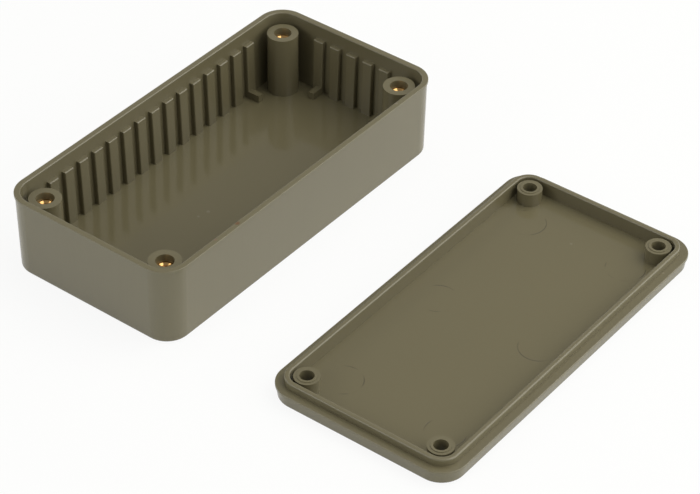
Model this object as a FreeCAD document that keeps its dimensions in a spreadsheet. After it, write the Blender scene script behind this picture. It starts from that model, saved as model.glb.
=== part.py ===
"""Plastic project box: an open base with guide ribs, four brass inserts and a flanged lid beside it.

The base stands on z = 0 with the centre of its bottom at the origin, its length along X and its
width along Y. The lid lies on the same surface, inner side up, on the -Y side of the base.
"""
import FreeCAD, Part
import math
import os
import Sketcher

# Driving dimensions: lengths in millimetres, the lid's turn in degrees
DIMENSIONS = [
    ("box_length", 100.0, "outline of the closed box along X, over the rim beads"),
    ("box_width", 50.0, "outline of the closed box along Y, over the rim beads"),
    ("corner_radius", 6.5, "plan radius of the outline's corners"),
    ("base_height", 20.9, "height of the base's rim above the table"),
    ("lid_height", 3.65, "height of the lid's flange, outer face to seating ledge"),
    ("wall", 1.3, "wall thickness of the base at its rim, without the bead"),
    ("base_floor", 2.0, "thickness of the base's floor"),
    ("bead_projection", 0.25, "how far a rim bead stands out of its wall"),
    ("bead_height", 0.8, "height of a rim bead"),
    ("bead_round", 0.15, "rounding of a bead's outer edges"),
    ("mouth_round", 0.3, "rounding of the rim's inner edge"),
    ("wall_draft", 0.35, "how much further in the outer wall stands at the table"),
    ("cavity_draft", 0.4, "how much further in the inner wall stands at the floor"),
    ("foot_round", 0.8, "rounding of the base's bottom edge"),
    ("screw_inset", 6.9, "screw axis to the outline, both ways"),
    ("post_radius", 3.9, "radius of a screw post at its top"),
    ("post_draft", 0.1, "how much thicker a post is at its foot"),
    ("post_drop", 2.3, "post top below the rim"),
    ("insert_radius", 2.2, "radius of a brass insert and of its bore"),
    ("insert_length", 8.0, "length of a brass insert"),
    ("insert_depth", 2.0, "insert top below the post top"),
    ("insert_chamfer", 0.55, "lead-in of the insert's thread, both ends"),
    ("thread_radius", 1.25, "minor radius of the insert's thread"),
    ("screw_room", 5.0, "depth of the narrower bore below an insert, for the screw's end"),
    ("screw_room_radius", 1.6, "radius of that bore"),
    ("rib_pitch", 5.08, "spacing of the guide ribs"),
    ("rib_width", 2.95, "width of a guide rib"),
    ("rib_depth", 1.2, "how far a rib's top stands out of the wall"),
    ("rib_draft", 0.45, "how much further out a rib stands at the floor"),
    ("rib_drop", 3.7, "rib top below the rim"),
    ("rib_round", 0.3, "rounding of a rib's front edges, along its top and up its sides"),
    ("rib_clearance", 0.9, "least gap between a rib and a screw post"),
    ("rest_width", 1.6, "width of a board rest, flush with its rib's side away from the post"),
    ("rest_length", 3.2, "board rest, from its rib's foot inwards"),
    ("rest_height", 2.0, "board rest above the floor"),
    ("flange_draft", 0.3, "how much further in the lid's flange stands at the table"),
    ("flange_round", 0.6, "rounding of the lid's outer edge at the table"),
    ("lid_floor", 1.6, "thickness of the lid's panel"),
    ("tongue_clearance", 0.5, "gap between the tongue and the base's inner wall"),
    ("tongue_thickness", 1.25, "thickness of the tongue that goes into the base"),
    ("tongue_height", 1.85, "tongue top above the seating ledge"),
    ("tongue_round", 0.35, "rounding of the tongue's top edges"),
    ("boss_radius", 3.05, "radius of a screw boss on the lid"),
    ("boss_drop", 0.4, "boss top below the tongue top"),
    ("ring_radius", 2.3, "radius of the raised ring round a lid hole"),
    ("ring_height", 0.15, "height of that raised ring"),
    ("screw_clearance", 1.7, "radius of a screw hole in the lid"),
    ("sink_radius", 3.0, "radius of the countersink on the lid's outer face"),
    ("lid_gap", 25.1, "free table between the base's outline and the lid's"),
    ("lid_shift", 1.6, "lid's centre from the base's along X"),
    ("lid_turn", 0.55, "turn of the lid about Z, as it was put down"),
]

doc = FreeCAD.newDocument("project_box")
sheet = doc.addObject("Spreadsheet::Sheet", "Sizes")
for row, (alias, number, note) in enumerate(DIMENSIONS, start=1):
    sheet.set("A%d" % row, str(number))
    sheet.set("B%d" % row, note)
    sheet.setAlias("A%d" % row, alias)
doc.recompute()


# What the sheet's sizes add up to: insets are measured inwards from the outline
WALL_INNER = "Sizes.bead_projection + Sizes.wall"
CAVITY_DEPTH = "Sizes.base_height - Sizes.base_floor"
RIB_ROOT = "Sizes.bead_projection + Sizes.wall / 2"
RIB_FRONT = WALL_INNER + " + Sizes.rib_depth"
RIB_FOOT = RIB_FRONT + " + Sizes.rib_draft"
RIB_TOP = "Sizes.base_height - Sizes.rib_drop"
REST_FRONT = RIB_FOOT + " + Sizes.rest_length"
REST_TOP = "Sizes.base_floor + Sizes.rest_height"
SCREW_X = "Sizes.box_length / 2 - Sizes.screw_inset"
SCREW_Y = "Sizes.box_width / 2 - Sizes.screw_inset"
POST_TOP = "Sizes.base_height - Sizes.post_drop"
POST_HEIGHT = POST_TOP + " - Sizes.base_floor"
INSERT_TOP = POST_TOP + " - Sizes.insert_depth"
INSERT_FOOT = INSERT_TOP + " - Sizes.insert_length"
TONGUE_OUTER = WALL_INNER + " + Sizes.tongue_clearance"
TONGUE_INNER = TONGUE_OUTER + " + Sizes.tongue_thickness"
TONGUE_TOP = "Sizes.lid_height + Sizes.tongue_height"
BOSS_TOP = TONGUE_TOP + " - Sizes.boss_drop"
SINK_DEPTH = "Sizes.sink_radius - Sizes.screw_clearance"

# Edges and faces nearer than this count as being in one plane
TOUCH = 0.001


def measure(expression):
    """Number that an expression over the sheet gives now."""
    result = sheet.evalExpression(expression)
    return float(getattr(result, "Value", result))


def origin_feature(body, role):
    """Origin plane or axis of a body, found by its role."""
    return next(item for item in body.Origin.OriginFeatures if item.Role == role)


def new_body(label):
    body = doc.addObject("PartDesign::Body", label)
    body.Label = label
    return body


def new_sketch(body, name, role="XY_Plane", height=None):
    """Sketch on one of the body's own origin planes, lifted by an expression where one is given."""
    sketch = body.newObject("Sketcher::SketchObject", name)
    sketch.AttachmentSupport = [(origin_feature(body, role), "")]
    sketch.MapMode = "FlatFace"
    if height:
        sketch.setExpression("AttachmentOffset.Base.z", height)
    return sketch


def bind(sketch, name, expression, kind, *places):
    """Adds one dimension to a sketch and ties it to an expression over the sheet."""
    index = sketch.addConstraint(Sketcher.Constraint(kind, *places, measure(expression)))
    sketch.renameConstraint(index, name)
    sketch.setExpression("Constraints." + name, expression)


def rounded_rectangle(body, name, height, inset):
    """Sketch of the box's outline, moved inwards by an inset, with equal corner arcs."""
    sketch = new_sketch(body, name, height=height)
    long_side = "Sizes.box_length - 2 * (%s)" % inset
    short_side = "Sizes.box_width - 2 * (%s)" % inset
    corner = "Sizes.corner_radius - (%s)" % inset
    half_x = measure(long_side) / 2
    half_y = measure(short_side) / 2
    radius = measure(corner)
    flat_x = half_x - radius
    flat_y = half_y - radius

    def line(x1, y1, x2, y2):
        return sketch.addGeometry(Part.LineSegment(FreeCAD.Vector(x1, y1, 0), FreeCAD.Vector(x2, y2, 0)))

    def arc(x, y, quarter):
        circle = Part.Circle(FreeCAD.Vector(x, y, 0), FreeCAD.Vector(0, 0, 1), radius)
        start = quarter * math.pi / 2
        return sketch.addGeometry(Part.ArcOfCircle(circle, start, start + math.pi / 2))

    # Sides and corners in anticlockwise order, each ending where the next one starts
    right = line(half_x, -flat_y, half_x, flat_y)
    corner_1 = arc(flat_x, flat_y, 0)
    top = line(flat_x, half_y, -flat_x, half_y)
    corner_2 = arc(-flat_x, flat_y, 1)
    left = line(-half_x, flat_y, -half_x, -flat_y)
    corner_3 = arc(-flat_x, -flat_y, 2)
    bottom = line(-flat_x, -half_y, flat_x, -half_y)
    corner_4 = arc(flat_x, -flat_y, 3)
    loop = (right, corner_1, top, corner_2, left, corner_3, bottom, corner_4)
    for piece, following in zip(loop, loop[1:] + loop[:1]):
        sketch.addConstraint(Sketcher.Constraint("Tangent", piece, 2, following, 1))
    for side in (top, bottom):
        sketch.addConstraint(Sketcher.Constraint("Horizontal", side))
    for side in (left, right):
        sketch.addConstraint(Sketcher.Constraint("Vertical", side))
    for other in (corner_2, corner_3, corner_4):
        sketch.addConstraint(Sketcher.Constraint("Equal", corner_1, other))
    sketch.addConstraint(Sketcher.Constraint("Symmetric", top, 1, bottom, 1, -1, 1))
    bind(sketch, "long_side", long_side, "DistanceX", left, 1, right, 1)
    bind(sketch, "short_side", short_side, "DistanceY", bottom, 1, top, 1)
    bind(sketch, "corner", corner, "Radius", corner_1)
    return sketch


def polygon(body, name, role, height, points):
    """Closed sketch of straight sides, through points given as pairs of expressions."""
    sketch = new_sketch(body, name, role, height)
    corners = [FreeCAD.Vector(measure(across), measure(up), 0) for across, up in points]
    sides = [
        sketch.addGeometry(Part.LineSegment(start, end))
        for start, end in zip(corners, corners[1:] + corners[:1])
    ]
    for side, following in zip(sides, sides[1:] + sides[:1]):
        sketch.addConstraint(Sketcher.Constraint("Coincident", side, 2, following, 1))
    for number, (side, (across, up)) in enumerate(zip(sides, points)):
        bind(sketch, "across_%d" % number, across, "DistanceX", -1, 1, side, 1)
        bind(sketch, "up_%d" % number, up, "DistanceY", -1, 1, side, 1)
    return sketch


def circle_at_screw(body, name, height, radius):
    """Sketch of a circle round the screw axis of the +X +Y corner."""
    sketch = new_sketch(body, name, height=height)
    centre = FreeCAD.Vector(measure(SCREW_X), measure(SCREW_Y), 0)
    circle = sketch.addGeometry(Part.Circle(centre, FreeCAD.Vector(0, 0, 1), measure(radius)))
    bind(sketch, "screw_x", SCREW_X, "DistanceX", -1, 1, circle, 3)
    bind(sketch, "screw_y", SCREW_Y, "DistanceY", -1, 1, circle, 3)
    bind(sketch, "radius", radius, "Radius", circle)
    return sketch


def pad(body, name, sketch, length, taper=None, midplane=False):
    """Raises a sketch by a length. A positive taper widens it on the way."""
    feature = body.newObject("PartDesign::Pad", name)
    feature.Profile = sketch
    feature.Midplane = midplane
    feature.setExpression("Length", length)
    if taper:
        feature.setExpression("TaperAngle", taper)
    return feature


def pocket(body, name, sketch, depth, taper=None, upwards=False):
    """Sinks a sketch by a depth, downwards unless told otherwise."""
    feature = body.newObject("PartDesign::Pocket", name)
    feature.Profile = sketch
    feature.Reversed = upwards
    feature.setExpression("Length", depth)
    if taper:
        feature.setExpression("TaperAngle", taper)
    return feature


def in_all_quarters(body, feature):
    """Repeats a feature in all four quarters of the box."""
    copies = body.newObject("PartDesign::MultiTransform", feature.Name + "_quarters")
    across_length = body.newObject("PartDesign::Mirrored", feature.Name + "_mirror_x")
    across_length.MirrorPlane = (origin_feature(body, "YZ_Plane"), [""])
    across_width = body.newObject("PartDesign::Mirrored", feature.Name + "_mirror_y")
    across_width.MirrorPlane = (origin_feature(body, "XZ_Plane"), [""])
    copies.Originals = [feature]
    copies.Transformations = [across_length, across_width]
    body.Tip = copies


def round_edges(body, name, radius, chosen):
    """Rounds the edges of the body's shape so far for which chosen(edge) holds."""
    doc.recompute()
    base = body.Tip
    names = ["Edge%d" % n for n, edge in enumerate(base.Shape.Edges, start=1) if chosen(edge)]
    feature = body.newObject("PartDesign::Fillet", name)
    feature.Base = (base, names)
    feature.setExpression("Radius", radius)
    body.Tip = feature


def lies_flat_at(edge, height):
    """True for an edge that lies in the plane z = height."""
    box = edge.BoundBox
    return abs(box.ZMin - height) < TOUCH and abs(box.ZMax - height) < TOUCH


def lean(draft, height):
    """Angle of a face that moves sideways by a draft over a height."""
    return "atan((%s) / (%s))" % (draft, height)


def drafted_block(body, height, draft, edge_round):
    """Outer block of a half: drafted wall, rounded edge at the table and a bead round its rim."""
    name = body.Label
    foot = rounded_rectangle(body, name + "_outline", None, "Sizes.bead_projection + " + draft)
    pad(body, name + "_wall", foot, height, lean(draft, height))
    round_edges(body, name + "_foot_round", edge_round, lambda edge: lies_flat_at(edge, 0.0))
    bead_foot = height + " - Sizes.bead_height"
    bead = rounded_rectangle(body, name + "_bead_outline", bead_foot, "0")
    pad(body, name + "_bead", bead, "Sizes.bead_height")
    levels = (measure(bead_foot), measure(height))
    outline_x = measure("Sizes.box_length / 2")
    outline_y = measure("Sizes.box_width / 2")

    def on_bead(edge):
        """Edges that touch the outline. The wall's own edges lie inside it."""
        box = edge.BoundBox
        touches_x = max(abs(box.XMin), abs(box.XMax)) > outline_x - TOUCH
        touches_y = max(abs(box.YMin), abs(box.YMax)) > outline_y - TOUCH
        return any(lies_flat_at(edge, level) for level in levels) and (touches_x or touches_y)

    round_edges(body, name + "_bead_round", "Sizes.bead_round", on_bead)


def inner_loop_at(height, inset):
    """Picks the edges in the plane z = height that lie at least an inset inside the outline."""
    level = measure(height)
    reach = measure("Sizes.box_length / 2 - (%s)" % inset)
    return lambda edge: lies_flat_at(edge, level) and edge.BoundBox.XMax < reach + TOUCH


base = new_body("box_base")
drafted_block(base, "Sizes.base_height", "Sizes.wall_draft", "Sizes.foot_round")

# Cavity, narrower at the floor than at the rim
mouth = rounded_rectangle(base, "cavity_outline", "Sizes.base_height", WALL_INNER)
pocket(base, "cavity", mouth, CAVITY_DEPTH, "-" + lean("Sizes.cavity_draft", CAVITY_DEPTH))
round_edges(base, "mouth_round", "Sizes.mouth_round", inner_loop_at("Sizes.base_height", WALL_INNER))


def last_rib(wall_length):
    """Distance from the middle of a wall to the axis of its last rib, which clears the post."""
    taken = "Sizes.screw_inset + Sizes.post_radius + Sizes.rib_clearance + Sizes.rib_width / 2"
    return "floor((%s / 2 - (%s)) / Sizes.rib_pitch) * Sizes.rib_pitch" % (wall_length, taken)


def section_at(name, role, place, wall_distance, points):
    """Section across a wall, at a place along it. A point is an inset from the outline and a height."""
    points = [("%s / 2 - (%s)" % (wall_distance, inset), height) for inset, height in points]
    return polygon(base, name, role, place, points)


def rows_of_ribs(rib, axis, mirror_plane, wall_length):
    """Repeats a wall's last rib along the wall, and across to the facing wall."""
    rows = base.newObject("PartDesign::MultiTransform", rib.Name + "_rows")
    along = base.newObject("PartDesign::LinearPattern", rib.Name + "_along")
    along.Direction = (origin_feature(base, axis), [""])
    # A sketch offset along +X sits at the row's far end, one offset along -Y at its near end
    along.Reversed = axis == "X_Axis"
    span = "2 * " + last_rib(wall_length)
    along.setExpression("Length", span)
    along.setExpression("Occurrences", "1 + (%s) / Sizes.rib_pitch" % span)
    across = base.newObject("PartDesign::Mirrored", rib.Name + "_across")
    across.MirrorPlane = (origin_feature(base, mirror_plane), [""])
    rows.Originals = [rib]
    rows.Transformations = [along, across]
    base.Tip = rows


RIB_POINTS = (
    (RIB_ROOT, "Sizes.base_floor"),
    (RIB_FOOT, "Sizes.base_floor"),
    (RIB_FRONT, RIB_TOP),
    (RIB_ROOT, RIB_TOP),
)
REST_POINTS = (
    (RIB_ROOT, "Sizes.base_floor"),
    (REST_FRONT, "Sizes.base_floor"),
    (REST_FRONT, REST_TOP),
    (RIB_ROOT, REST_TOP),
)
# Walls with ribs: name, section plane, axis along the wall, mirror plane, length and distance
WALLS = (
    ("long", "YZ_Plane", "X_Axis", "XZ_Plane", "Sizes.box_length", "Sizes.box_width"),
    ("short", "XZ_Plane", "Y_Axis", "YZ_Plane", "Sizes.box_width", "Sizes.box_length"),
)
for wall, role, axis, mirror_plane, length, distance in WALLS:
    rib_outline = section_at(wall + "_rib_section", role, last_rib(length), distance, RIB_POINTS)
    rib = pad(base, wall + "_rib", rib_outline, "Sizes.rib_width", midplane=True)
    rows_of_ribs(rib, axis, mirror_plane, length)
    # Only the last rib at each end of a wall has a rest for the board at its foot
    rest_axis = last_rib(length) + " - Sizes.rib_width / 2 + Sizes.rest_width / 2"
    rest_outline = section_at(wall + "_rest_section", role, rest_axis, distance, REST_POINTS)
    in_all_quarters(base, pad(base, wall + "_rest", rest_outline, "Sizes.rest_width", midplane=True))

rib_top = measure(RIB_TOP)
rib_front_x = measure("Sizes.box_length / 2 - (%s)" % RIB_FRONT)
rib_front_y = measure("Sizes.box_width / 2 - (%s)" % RIB_FRONT)


def on_rib_front(edge):
    """Picks the edges round each rib's front: level along its top, and leaning up both its sides."""
    box = edge.BoundBox
    on_long_wall = (max(abs(box.YMin), abs(box.YMax)), rib_front_y, box.YLength, box.XLength)
    on_short_wall = (max(abs(box.XMin), abs(box.XMax)), rib_front_x, box.XLength, box.YLength)
    for distance, front, depth, width in (on_long_wall, on_short_wall):
        level = lies_flat_at(edge, rib_top) and depth < TOUCH
        leaning = width < TOUCH and box.ZLength > rib_top / 2
        if abs(distance - front) < TOUCH and (level or leaning):
            return True
    return False


round_edges(base, "rib_round", "Sizes.rib_round", on_rib_front)

# Screw posts, each with a stepped bore: the insert's width, then room for the screw's end
post_foot = circle_at_screw(base, "post_foot", "Sizes.base_floor", "Sizes.post_radius + Sizes.post_draft")
post_lean = "-" + lean("Sizes.post_draft", POST_HEIGHT)
in_all_quarters(base, pad(base, "post", post_foot, POST_HEIGHT, post_lean))
bore_mouth = circle_at_screw(base, "insert_bore_mouth", POST_TOP, "Sizes.insert_radius")
in_all_quarters(base, pocket(base, "insert_bore", bore_mouth, "Sizes.insert_depth + Sizes.insert_length"))
room_mouth = circle_at_screw(base, "screw_room_mouth", INSERT_FOOT, "Sizes.screw_room_radius")
in_all_quarters(base, pocket(base, "screw_room", room_mouth, "Sizes.screw_room"))

# Brass inserts, one in each post: a bush whose bore has a lead-in at both ends
LEAD_IN = "Sizes.thread_radius + Sizes.insert_chamfer"
INSERT_POINTS = (
    ("Sizes.insert_radius", INSERT_FOOT),
    ("Sizes.insert_radius", INSERT_TOP),
    (LEAD_IN, INSERT_TOP),
    ("Sizes.thread_radius", INSERT_TOP + " - Sizes.insert_chamfer"),
    ("Sizes.thread_radius", INSERT_FOOT + " + Sizes.insert_chamfer"),
    (LEAD_IN, INSERT_FOOT),
)
# Left is -X and front is -Y, where the lid lies
CORNERS = (
    ("insert_front_left", -1, -1),
    ("insert_front_right", 1, -1),
    ("insert_back_left", -1, 1),
    ("insert_back_right", 1, 1),
)
for label, side_x, side_y in CORNERS:
    insert = new_body(label)
    bush = insert.newObject("PartDesign::Revolution", label + "_bush")
    bush.Profile = polygon(insert, label + "_section", "XZ_Plane", None, INSERT_POINTS)
    bush.ReferenceAxis = (origin_feature(insert, "Z_Axis"), [""])
    bush.Angle = 360.0
    insert.setExpression("Placement.Base.x", "%d * (%s)" % (side_x, SCREW_X))
    insert.setExpression("Placement.Base.y", "%d * (%s)" % (side_y, SCREW_Y))

# Lid, modelled inner side up round its own centre and then put down beside the base
lid = new_body("lid")
drafted_block(lid, "Sizes.lid_height", "Sizes.flange_draft", "Sizes.flange_round")
tongue = rounded_rectangle(lid, "tongue_outline", "Sizes.lid_height", TONGUE_OUTER)
pad(lid, "tongue", tongue, "Sizes.tongue_height")
tray = rounded_rectangle(lid, "tray_outline", TONGUE_TOP, TONGUE_INNER)
pocket(lid, "tray", tray, TONGUE_TOP + " - Sizes.lid_floor")
round_edges(lid, "tongue_round", "Sizes.tongue_round", inner_loop_at(TONGUE_TOP, TONGUE_OUTER))

# Screw bosses, with a low ring round each countersunk hole
boss_foot = circle_at_screw(lid, "boss_foot", "Sizes.lid_floor", "Sizes.boss_radius")
in_all_quarters(lid, pad(lid, "boss", boss_foot, BOSS_TOP + " - Sizes.lid_floor"))
ring_foot = circle_at_screw(lid, "ring_foot", BOSS_TOP, "Sizes.ring_radius")
in_all_quarters(lid, pad(lid, "ring", ring_foot, "Sizes.ring_height"))
hole_mouth = circle_at_screw(lid, "screw_hole_mouth", None, "Sizes.screw_clearance")
hole_depth = BOSS_TOP + " + Sizes.ring_height"
in_all_quarters(lid, pocket(lid, "screw_hole", hole_mouth, hole_depth, upwards=True))
sink_mouth = circle_at_screw(lid, "countersink_mouth", None, "Sizes.sink_radius")
sink = pocket(lid, "countersink", sink_mouth, SINK_DEPTH, "-" + lean(SINK_DEPTH, SINK_DEPTH), upwards=True)
in_all_quarters(lid, sink)

lid.setExpression("Placement.Base.x", "Sizes.lid_shift")
lid.setExpression("Placement.Base.y", "-(Sizes.box_width + Sizes.lid_gap)")
lid.setExpression("Placement.Rotation.Angle", "Sizes.lid_turn")
doc.recompute()

SUB_PARTS = [item for item in doc.Objects if item.TypeId == "PartDesign::Body"]
faulty = [item.Name for item in doc.Objects if "Invalid" in item.State or "Error" in item.State]
if faulty:
    raise RuntimeError("not recomputed: " + ", ".join(faulty))
for body in SUB_PARTS:
    if body.Shape.isNull() or not body.Shape.isValid() or len(body.Shape.Solids) != 1:
        raise RuntimeError(body.Label + " is not one valid solid")

os.makedirs("parts", exist_ok=True)
for body in SUB_PARTS:
    body.Shape.exportStep("parts/%s.step" % body.Label)
    print(body.Label, round(body.Shape.Volume, 2), body.Shape.BoundBox)
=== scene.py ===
"""Looks of the plastic project box: glossy olive-grey plastic, threaded brass inserts, pale studio."""

import bpy
import math
from mathutils import Euler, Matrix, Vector


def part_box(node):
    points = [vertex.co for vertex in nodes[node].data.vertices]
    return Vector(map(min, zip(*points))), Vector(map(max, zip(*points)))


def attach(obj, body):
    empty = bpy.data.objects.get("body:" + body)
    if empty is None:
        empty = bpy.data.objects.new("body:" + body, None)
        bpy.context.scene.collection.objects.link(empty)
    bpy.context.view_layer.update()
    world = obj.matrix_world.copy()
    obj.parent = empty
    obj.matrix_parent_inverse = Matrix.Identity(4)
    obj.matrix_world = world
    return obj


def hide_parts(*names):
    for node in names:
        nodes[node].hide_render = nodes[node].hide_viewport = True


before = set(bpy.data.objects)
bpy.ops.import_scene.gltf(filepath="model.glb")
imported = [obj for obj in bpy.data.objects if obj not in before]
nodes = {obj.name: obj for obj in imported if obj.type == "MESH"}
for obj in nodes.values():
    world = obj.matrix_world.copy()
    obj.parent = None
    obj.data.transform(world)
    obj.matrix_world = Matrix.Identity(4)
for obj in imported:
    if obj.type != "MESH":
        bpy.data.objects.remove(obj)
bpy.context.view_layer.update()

MM = 0.001

# Camera, as fitted to the photograph: place in metres, turn in degrees, lens and sensor in millimetres
CAMERA_PLACE = (-0.39246, -0.33741, 0.40009)
CAMERA_TURN = (51.3586, -0.6154, -52.0629)
CAMERA_LENS = 140.31
CAMERA_SENSOR = 36.0
CAMERA_CLIP = 0.01

# Table: side in metres, its colour under the lamps, and the share of plain white where it is seen
TABLE_SIZE = 3.0
PAPER = (0.88, 0.90, 0.83, 1.0)
FLOOR_WHITE = 0.90

# Room: its light on the object, how dim it is where it is seen, and the heights, as the sine of the
# elevation, between which the white sweep behind the table fades into it
WORLD_LIGHT = 0.25
ROOM_DIM = 0.27
SWEEP_TOP = (0.30, 0.52)
ROOM_COLOUR = (1.0, 1.0, 1.0, 1.0)

# Lamps: name, azimuth and elevation in degrees, distance, width and height in metres, power in watts
LAMP_AIM = (0.0, -0.03, 0.0)
LAMP_COLOUR = (1.0, 0.985, 0.94)
LAMPS = (
    ("right_softbox", 300, 34, 0.58, 0.95, 0.60, 3.4),
    ("left_softbox", 156, 24, 1.0, 0.55, 0.50, 2.2),
    ("back_softbox", 98, 24, 1.0, 0.70, 0.50, 1.7),
    ("top_softbox", 345, 70, 0.85, 0.65, 0.65, 2.4),
)

# Colours of the object, linear
OLIVE = (0.163, 0.144, 0.083, 1.0)
OLIVE_DARK = (0.154, 0.136, 0.077, 1.0)
BRASS = (0.72, 0.43, 0.16, 1.0)
# Painted shade: a dark line colour on the ejector pins' circles, standing in for the shade in their
# hairline groove
RING_PAINTED_SHADE = (0.06, 0.05, 0.035, 1.0)
FLECK = (0.15, 0.085, 0.04, 1.0)
BLUSH = (0.185, 0.135, 0.085, 1.0)
SCUFF = (0.20, 0.175, 0.115, 1.0)
SPECK = (0.03, 0.025, 0.02, 1.0)

# Noise: scale, detail and roughness
MOTTLE = (60.0, 3.0, 0.55)
STREAKS = (1300.0, 2.0, 0.5)
WAVES = (220.0, 1.0, 0.4)
GRAIN = (3000.0, 2.0, 0.6)
RING_WEAR = (130.0, 2.0, 0.5)
TARNISH = (900.0, 4.0, 0.6)

# Draw marks on the plastic: their stretch along the pull, and their share in the tone beside the mottle
STREAK_STRETCH = (1.0, 1.0, 0.04)
STREAK_SHARE = 0.6

# Relief: strength, and depth in metres
WAVES_RELIEF = (0.5, 0.04 * MM)
GRAIN_RELIEF = (0.05, 0.04 * MM)
RING_RELIEF = (0.3, 0.06 * MM)

# Gloss of the plastic: polished floors inside, satin elsewhere. A floor's half sizes and height are in
# millimetres, and the polish ends between two heights above it
PLASTIC_IOR = 1.58
FLOOR_ROUGHNESS = 0.10
WALL_ROUGHNESS = 0.26
BASE_FLOOR = ((48.2, 23.2), 2.0)
LID_FLOOR = ((46.8, 21.8), 1.6)
POLISH_END = (0.05, 0.3)

# Gloss of the brass: roughness where the tarnish noise is low and high
TARNISH_RANGE = (0.3, 0.7)
BRASS_ROUGHNESS = (0.08, 0.20)

# Small marks on the plastic, in millimetres: centre, radius and colour. A mark is even to this share of
# its radius, and then fades
MARK_CORE = 0.4
BASE_MARKS = (
    ((-24.95, -23.9, 20.9), 0.85, FLECK),
    ((-32.6, -23.9, 20.9), 0.6, BLUSH),
    ((34.3, -24.0, 20.9), 0.5, SCUFF),
    ((-7.5, -0.1, 2.0), 0.6, SCUFF),
    ((-10.4, 0.5, 2.0), 0.45, SCUFF),
)
LID_MARKS = (
    ((36.2, -94.9, 1.6), 0.45, SPECK),
    ((38.8, -98.2, 3.65), 0.4, SCUFF),
    ((36.7, -74.1, 1.6), 0.45, SCUFF),
)

# The lid as it lies: centre and turn, and half sizes of the table round its holes, in millimetres and
# degrees
LID_CENTRE = (1.6, -75.1)
LID_TURN = 0.55
UNDER_LID = (46.5, 21.5)

# Ejector pins' circles on the lid's panel, in millimetres: middle of them all, how far each lies from it
# along and across the lid, radius, half width of a line where it starts and ends to fade, and heights
# between which they end above the panel. Where the wear noise is low, a circle is worn away
PIN_CENTRE = (1.2, -75.5)
PIN_X = (0.0, 35.7)
PIN_Y = 13.9
PIN_RADIUS = 4.7
RING_LINE = (0.05, 0.22)
RING_END = (1.65, 1.75)
RING_WEAR_RANGE = (0.50, 0.66)
# Share of painted shade laid on the circles' lines, darkening them as if shade lay in their hairline
# groove
RING_PAINTED_SHADE_SHARE = 0.6

# Screw thread in an insert, in metres: pitch, minor and major radius, and the lead-in at each end. The
# groove's half width at its mouth and at its root is in pitches
PITCH = 0.5 * MM
MINOR = 1.25 * MM
MAJOR = 1.52 * MM
LEAD_IN = 0.55 * MM
GROOVE_MOUTH = 0.4375
GROOVE_ROOT = 0.125

# Mesh of an insert: points round it, rows in a pitch, and the angle in degrees that shades as an edge
THREAD_COLUMNS = 48
ROWS_PER_PITCH = 10
SHARP_ANGLE = 35


def add_camera():
    data = bpy.data.cameras.new("camera")
    data.lens = CAMERA_LENS
    data.sensor_width = CAMERA_SENSOR
    data.clip_start = CAMERA_CLIP
    camera = bpy.data.objects.new("camera", data)
    camera.location = CAMERA_PLACE
    camera.rotation_euler = Euler([math.radians(angle) for angle in CAMERA_TURN], "XYZ")
    bpy.context.scene.collection.objects.link(camera)
    bpy.context.scene.camera = camera


class Shader:
    """Short way to add and link the nodes of one node tree."""

    def __init__(self, tree):
        self.tree = tree

    def add(self, kind, **sockets):
        node = self.tree.nodes.new("ShaderNode" + kind)
        for name, value in sockets.items():
            self.put(node, name.replace("_", " "), value)
        return node

    def put(self, node, name, value):
        if isinstance(value, bpy.types.NodeSocket):
            self.tree.links.new(value, node.inputs[name])
        else:
            node.inputs[name].default_value = value

    def math(self, operation, *values):
        node = self.add("Math")
        node.operation = operation
        for index, value in enumerate(values):
            self.put(node, index, value)
        return node.outputs[0]

    def ranged(self, value, low, high, to_low=0.0, to_high=1.0, smooth=False):
        """Value carried from one range to another, and held at its ends."""
        node = self.add("MapRange", Value=value)
        if smooth:
            node.interpolation_type = "SMOOTHSTEP"
        self.put(node, "From Min", low)
        self.put(node, "From Max", high)
        self.put(node, "To Min", to_low)
        self.put(node, "To Max", to_high)
        return node.outputs["Result"]

    def noise(self, place, layer):
        scale, detail, roughness = layer
        node = self.add("TexNoise", Vector=place, Scale=scale, Detail=detail, Roughness=roughness)
        return node.outputs["Fac"]

    def bump(self, height, relief, sunk=False):
        strength, depth = relief
        node = self.add("Bump", Strength=strength, Distance=depth, Height=height)
        node.invert = sunk
        return node


def new_material(name):
    material = bpy.data.materials.new(name)
    material.use_nodes = True
    material.node_tree.nodes.clear()
    return material, Shader(material.node_tree)


def close_surface(shader, surface):
    output = shader.add("OutputMaterial")
    shader.tree.links.new(surface.outputs[0], output.inputs["Surface"])


def near_point(shader, place, centre, radius):
    """One at a point given in millimetres, falling to zero at a radius round it."""
    apart = shader.add("VectorMath")
    apart.operation = "DISTANCE"
    shader.put(apart, 0, place)
    apart.inputs[1].default_value = [MM * number for number in centre]
    core = MARK_CORE * MM * radius
    return shader.ranged(apart.outputs["Value"], core, MM * radius, 1.0, 0.0, smooth=True)


def tinted(shader, colour, mask, tint):
    """Colour with a tint laid over it where the mask is one."""
    mix = shader.add("Mix")
    mix.data_type = "RGBA"
    shader.put(mix, "Factor", mask)
    shader.put(mix, 6, colour)
    shader.put(mix, 7, tint)
    return mix.outputs[2]


def in_lid_frame(shader, place, centre):
    """Place measured along and across the lid as it lies, from a centre in millimetres."""
    turned = shader.add("Mapping", Vector=place)
    turned.vector_type = "TEXTURE"
    turned.inputs["Location"].default_value = (centre[0] * MM, centre[1] * MM, 0.0)
    turned.inputs["Rotation"].default_value = (0.0, 0.0, math.radians(LID_TURN))
    return turned.outputs["Vector"]


def in_rectangle(shader, parts, half):
    """One inside a rectangle round the origin, given its half sizes in millimetres, and else zero."""
    in_x = shader.math("LESS_THAN", shader.math("ABSOLUTE", parts.outputs["X"]), half[0] * MM)
    in_y = shader.math("LESS_THAN", shader.math("ABSOLUTE", parts.outputs["Y"]), half[1] * MM)
    return shader.math("MULTIPLY", in_x, in_y)


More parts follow.
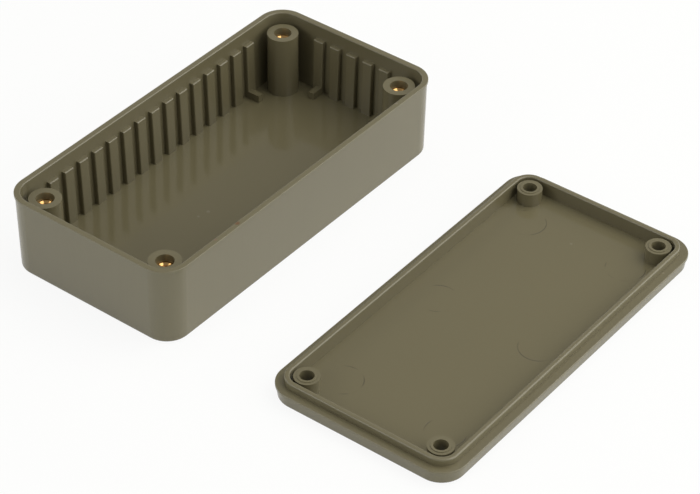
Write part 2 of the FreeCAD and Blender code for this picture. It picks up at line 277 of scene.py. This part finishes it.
def polished(shader, local, half, height):
    """One on the floor inside a piece, given its half sizes and height in millimetres, and else zero."""
    parts = shader.add("SeparateXYZ", Vector=local)
    even = (height + POLISH_END[0]) * MM
    gone = (height + POLISH_END[1]) * MM
    low = shader.ranged(parts.outputs["Z"], even, gone, 1.0, 0.0)
    return shader.math("MULTIPLY", in_rectangle(shader, parts, half), low)


def pin_rings(shader, place):
    """Faint circles that the ejector pins left on the lid's panel, partly worn away; the mask sets their
    sunk relief and their painted shade.
    """
    parts = shader.add("SeparateXYZ", Vector=in_lid_frame(shader, place, PIN_CENTRE))
    along = shader.math("ABSOLUTE", parts.outputs["X"])
    across = shader.math("SUBTRACT", shader.math("ABSOLUTE", parts.outputs["Y"]), PIN_Y * MM)
    across_squared = shader.math("MULTIPLY", across, across)
    rings = []
    for x in PIN_X:
        aside = shader.math("SUBTRACT", along, x * MM)
        from_pin = shader.math("SQRT", shader.math("MULTIPLY_ADD", aside, aside, across_squared))
        off_ring = shader.math("ABSOLUTE", shader.math("SUBTRACT", from_pin, PIN_RADIUS * MM))
        line = shader.ranged(off_ring, RING_LINE[0] * MM, RING_LINE[1] * MM, 1.0, 0.0, smooth=True)
        rings.append(line)
    ring = shader.math("MAXIMUM", *rings)
    left_over = shader.ranged(shader.noise(place, RING_WEAR), *RING_WEAR_RANGE, smooth=True)
    on_panel = shader.ranged(parts.outputs["Z"], RING_END[0] * MM, RING_END[1] * MM, 1.0, 0.0)
    return shader.math("MULTIPLY", shader.math("MULTIPLY", ring, left_over), on_panel)


def olive_plastic(name, marks, half, height, pins=False):
    """Moulded plastic: even olive grey, glossier on the floor inside, with faint draw marks and mottle."""
    material, shader = new_material(name)
    place = shader.add("TexCoord").outputs["Object"]
    drawn = shader.add("Mapping", Vector=place)
    drawn.inputs["Scale"].default_value = STREAK_STRETCH
    streaks = shader.noise(drawn.outputs["Vector"], STREAKS)
    mottle = shader.math("MULTIPLY", shader.noise(place, MOTTLE), 1.0 - STREAK_SHARE)
    tones = shader.add("ValToRGB", Fac=shader.math("MULTIPLY_ADD", streaks, STREAK_SHARE, mottle))
    tones.color_ramp.elements[0].color = OLIVE_DARK
    tones.color_ramp.elements[1].color = OLIVE
    colour = tones.outputs["Color"]
    for centre, radius, tint in marks:
        colour = tinted(shader, colour, near_point(shader, place, centre, radius), tint)
    waves = shader.bump(shader.noise(place, WAVES), WAVES_RELIEF)
    relief = shader.bump(shader.noise(place, GRAIN), GRAIN_RELIEF)
    shader.put(relief, "Normal", waves.outputs["Normal"])
    local = place
    if pins:
        rings = pin_rings(shader, place)
        # Painted shade: the circles' lines are darkened as if shade lay in their hairline groove; their
        # sunk relief below is real bump
        colour = tinted(shader, colour, shader.math("MULTIPLY", rings, RING_PAINTED_SHADE_SHARE), RING_PAINTED_SHADE)
        grain = relief
        relief = shader.bump(rings, RING_RELIEF, sunk=True)
        shader.put(relief, "Normal", grain.outputs["Normal"])
        local = in_lid_frame(shader, place, LID_CENTRE)
    gloss = polished(shader, local, half, height)
    surface = shader.add("BsdfPrincipled", IOR=PLASTIC_IOR)
    shader.put(surface, "Base Color", colour)
    shader.put(surface, "Roughness", shader.ranged(gloss, 0.0, 1.0, WALL_ROUGHNESS, FLOOR_ROUGHNESS))
    shader.put(surface, "Normal", relief.outputs["Normal"])
    close_surface(shader, surface)
    return material


def brass():
    """Turned brass with a little tarnish."""
    material, shader = new_material("insert_brass")
    place = shader.add("TexCoord").outputs["Object"]
    tarnish = shader.noise(place, TARNISH)
    surface = shader.add("BsdfPrincipled", Base_Color=BRASS, Metallic=1.0)
    shader.put(surface, "Roughness", shader.ranged(tarnish, *TARNISH_RANGE, *BRASS_ROUGHNESS))
    close_surface(shader, surface)
    return material


def finish_node(node, material):
    node.data.materials.clear()
    node.data.materials.append(material)


def bore_radius(height, turn, length):
    """Radius of the threaded bore: a flat-crested 60 degree thread, opened by the lead-in at both ends."""
    phase = (height / PITCH - turn) % 1.0
    groove = (GROOVE_MOUTH - abs(phase - 0.5)) / (GROOVE_MOUTH - GROOVE_ROOT)
    groove = max(0.0, min(1.0, groove))
    to_end = min(height, length - height)
    lead_in = MINOR + LEAD_IN - to_end
    return max(MINOR + (MAJOR - MINOR) * groove, lead_in)


def add_threaded_insert(node_name, material):
    """Bush of the same place, width and length as the plain insert, with a real screw thread in it."""
    low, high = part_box(node_name)
    centre = [(a + b) / 2 for a, b in zip(low, high)]
    outer = (high[0] - low[0]) / 2
    length = high[2] - low[2]
    rows = round(length / PITCH) * ROWS_PER_PITCH
    turns = [column / THREAD_COLUMNS for column in range(THREAD_COLUMNS)]

    def point(radius, turn, height):
        angle = 2 * math.pi * turn
        return (
            centre[0] + radius * math.cos(angle),
            centre[1] + radius * math.sin(angle),
            low[2] + height,
        )

    points = []
    for row in range(rows + 1):
        height = length * row / rows
        points += [point(bore_radius(height, turn, length), turn, height) for turn in turns]
    for height in (length, 0.0):
        points += [point(outer, turn, height) for turn in turns]
    faces = []
    rings = len(points) // THREAD_COLUMNS
    for ring in range(rings):
        here = ring * THREAD_COLUMNS
        there = (ring + 1) % rings * THREAD_COLUMNS
        for column in range(THREAD_COLUMNS):
            beside = (column + 1) % THREAD_COLUMNS
            faces.append((here + column, there + column, there + beside, here + beside))
    mesh = bpy.data.meshes.new(node_name + "_threaded")
    mesh.from_pydata(points, [], faces)
    mesh.polygons.foreach_set("use_smooth", [True] * len(faces))
    mesh.set_sharp_from_angle(angle=math.radians(SHARP_ANGLE))
    mesh.materials.append(material)
    insert = bpy.data.objects.new(node_name + "_threaded", mesh)
    bpy.context.scene.collection.objects.link(insert)
    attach(insert, "root")
    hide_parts(node_name)


def seen_rays(shader):
    """One where a ray comes from the camera, a mirror-like bounce or through glass, else zero."""
    path = shader.add("LightPath")
    mirrored = shader.math("MAXIMUM", path.outputs["Is Glossy Ray"], path.outputs["Is Transmission Ray"])
    return shader.math("MAXIMUM", path.outputs["Is Camera Ray"], mirrored)


def outside_lid(shader):
    """Zero on the table under the lid, where the holes of its bosses look down, and else one."""
    place = shader.add("TexCoord").outputs["Object"]
    parts = shader.add("SeparateXYZ", Vector=in_lid_frame(shader, place, LID_CENTRE))
    return shader.math("SUBTRACT", 1.0, in_rectangle(shader, parts, UNDER_LID))


def add_floor():
    """Pale table top round the object: seen as near white, and it keeps a share of the object's shadow."""
    half = TABLE_SIZE / 2
    corners = [(-half, -half, 0), (half, -half, 0), (half, half, 0), (-half, half, 0)]
    mesh = bpy.data.meshes.new("floor")
    mesh.from_pydata(corners, [], [(0, 1, 2, 3)])
    floor = bpy.data.objects.new("floor", mesh)
    bpy.context.scene.collection.objects.link(floor)
    material, shader = new_material("floor_white")
    paper = shader.add("BsdfDiffuse", Color=PAPER)
    white = shader.add("Emission", Strength=1.0)
    share = shader.math("MULTIPLY", seen_rays(shader), FLOOR_WHITE)
    mix = shader.add("MixShader", Fac=shader.math("MULTIPLY", share, outside_lid(shader)))
    shader.put(mix, 1, paper.outputs[0])
    shader.put(mix, 2, white.outputs[0])
    close_surface(shader, mix)
    mesh.materials.append(material)


def add_lamp(name, azimuth, elevation, distance, width, height, power):
    """Soft box round the middle of the table, facing it."""
    turn = math.radians(azimuth)
    rise = math.radians(elevation)
    direction = Vector((math.cos(rise) * math.cos(turn), math.cos(rise) * math.sin(turn), math.sin(rise)))
    data = bpy.data.lights.new(name, "AREA")
    data.shape = "RECTANGLE"
    data.size = width
    data.size_y = height
    data.energy = power
    data.color = LAMP_COLOUR
    lamp = bpy.data.objects.new(name, data)
    lamp.location = Vector(LAMP_AIM) + direction * distance
    lamp.rotation_euler = direction.to_track_quat("Z", "Y").to_euler()
    bpy.context.scene.collection.objects.link(lamp)


def add_world():
    """Dim room round a white sweep that reaches up behind the table."""
    world = bpy.data.worlds.new("studio")
    bpy.context.scene.world = world
    world.use_nodes = True
    shader = Shader(world.node_tree)
    direction = shader.add("TexCoord").outputs["Generated"]
    up = shader.add("SeparateXYZ", Vector=direction).outputs["Z"]
    seen = shader.ranged(up, *SWEEP_TOP, 1.0, ROOM_DIM, smooth=True)
    strength = shader.ranged(seen_rays(shader), 0.0, 1.0, WORLD_LIGHT, seen)
    background = world.node_tree.nodes["Background"]
    shader.put(background, "Color", ROOM_COLOUR)
    shader.put(background, "Strength", strength)


metal = brass()
for name in nodes:
    if name.startswith("insert"):
        add_threaded_insert(name, metal)
finish_node(nodes["box_base"], olive_plastic("olive_plastic_base", BASE_MARKS, *BASE_FLOOR))
finish_node(nodes["lid"], olive_plastic("olive_plastic_lid", LID_MARKS, *LID_FLOOR, pins=True))

add_camera()
add_floor()
add_world()
for lamp in LAMPS:
    add_lamp(*lamp)
bpy.context.scene.view_settings.view_transform = "Standard"
